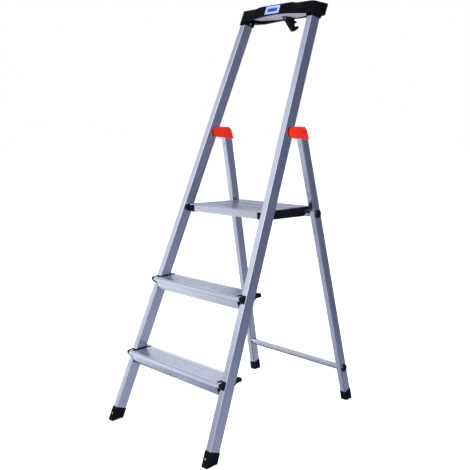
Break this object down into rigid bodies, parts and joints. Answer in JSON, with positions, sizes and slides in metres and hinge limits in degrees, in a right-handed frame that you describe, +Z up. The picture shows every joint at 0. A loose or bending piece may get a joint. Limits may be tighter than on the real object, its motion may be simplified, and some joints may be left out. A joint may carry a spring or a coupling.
{
  "type": "platform step ladder",
  "caption": "Free-standing aluminium step ladder with grooved treads, a folding platform, a top tray with a bucket hook and a swinging rear frame.",
  "frame": {"origin": "on the floor at the middle of the footprint", "axes": "+Z up, +X to the climber's right across the ladder, +Y from the climbing side to the rear frame"},
  "size_m": [0.4314, 0.6673, 1.2295],
  "materials": {
    "stile_aluminium": "clear anodised extrusion, fine drawing lines",
    "leg_aluminium": "clear anodised extrusion, fine drawing lines",
    "tube_aluminium": "drawn tube, satin",
    "tread_aluminium": "bright ribbed extrusion",
    "deck_aluminium": "bright ribbed extrusion",
    "black_plastic": "moulded, fine texture",
    "tray_plastic": "moulded, half gloss",
    "foot_rubber": "moulded rubber, matt",
    "orange_plastic": "moulded, half gloss",
    "bush_plastic": "natural nylon",
    "pan_grey": "moulded, fine texture",
    "label_blue": "blank printed plate with no text",
    "rivet_dark": "blackened rivets",
    "fastener_steel": "zinc plated"
  },
  "bodies": {
    "front_frame": {"bucket_hook": "black_plastic", "foot_front_left": "foot_rubber", "foot_front_right": "foot_rubber", "foot_screws": "fastener_steel", "hinge_bush_left": "bush_plastic", "hinge_bush_right": "bush_plastic", "hook_screws": "fastener_steel", "label_plate": "label_blue", "platform_pin_left": "fastener_steel", "platform_pin_right": "fastener_steel", "stile_left": "stile_aluminium", "stile_right": "stile_aluminium", "tray_frame": "tray_plastic", "tray_pan": "pan_grey", "tray_screws": "fastener_steel", "tread_cap_lower_left": "black_plastic", "tread_cap_lower_right": "black_plastic", "tread_cap_screws": "fastener_steel", "tread_cap_upper_left": "black_plastic", "tread_cap_upper_right": "black_plastic", "tread_lower": "tread_aluminium", "tread_upper": "tread_aluminium"},
    "rear_frame": {"foot_rear_left": "foot_rubber", "foot_rear_right": "foot_rubber", "hinge_cap_left": "orange_plastic", "hinge_cap_right": "orange_plastic", "hinge_head_left": "orange_plastic", "hinge_head_right": "orange_plastic", "hinge_pin_left": "fastener_steel", "hinge_pin_right": "fastener_steel", "hinge_rivets": "fastener_steel", "rear_leg_left": "leg_aluminium", "rear_leg_right": "leg_aluminium", "tube_brace": "tube_aluminium", "tube_cap_brace_left": "black_plastic", "tube_cap_brace_right": "black_plastic", "tube_cap_rest_left": "black_plastic", "tube_cap_rest_right": "black_plastic", "tube_rest": "tube_aluminium"},
    "platform": {"platform_bracket_left": "black_plastic", "platform_bracket_right": "black_plastic", "platform_plank_front": "deck_aluminium", "platform_plank_middle": "deck_aluminium", "platform_plank_rear": "deck_aluminium", "platform_rivets": "rivet_dark"}
  },
  "joints": [
    {"name": "rear_fold", "type": "hinge", "parent": "front_frame", "child": "rear_frame", "pos_m": [0, 0.04769, 0.858], "axis": [-1, 0, 0], "range_deg": [0, 36.3]},
    {"name": "platform_tilt", "type": "hinge", "parent": "front_frame", "child": "platform", "pos_m": [0, -0.04307, 0.6285], "axis": [1, 0, 0], "range_deg": [0, 67.8]}
  ],
  "couplings": [
    {"joint": "platform_tilt", "follows": "rear_fold", "ratio": 1.8677}
  ]
}
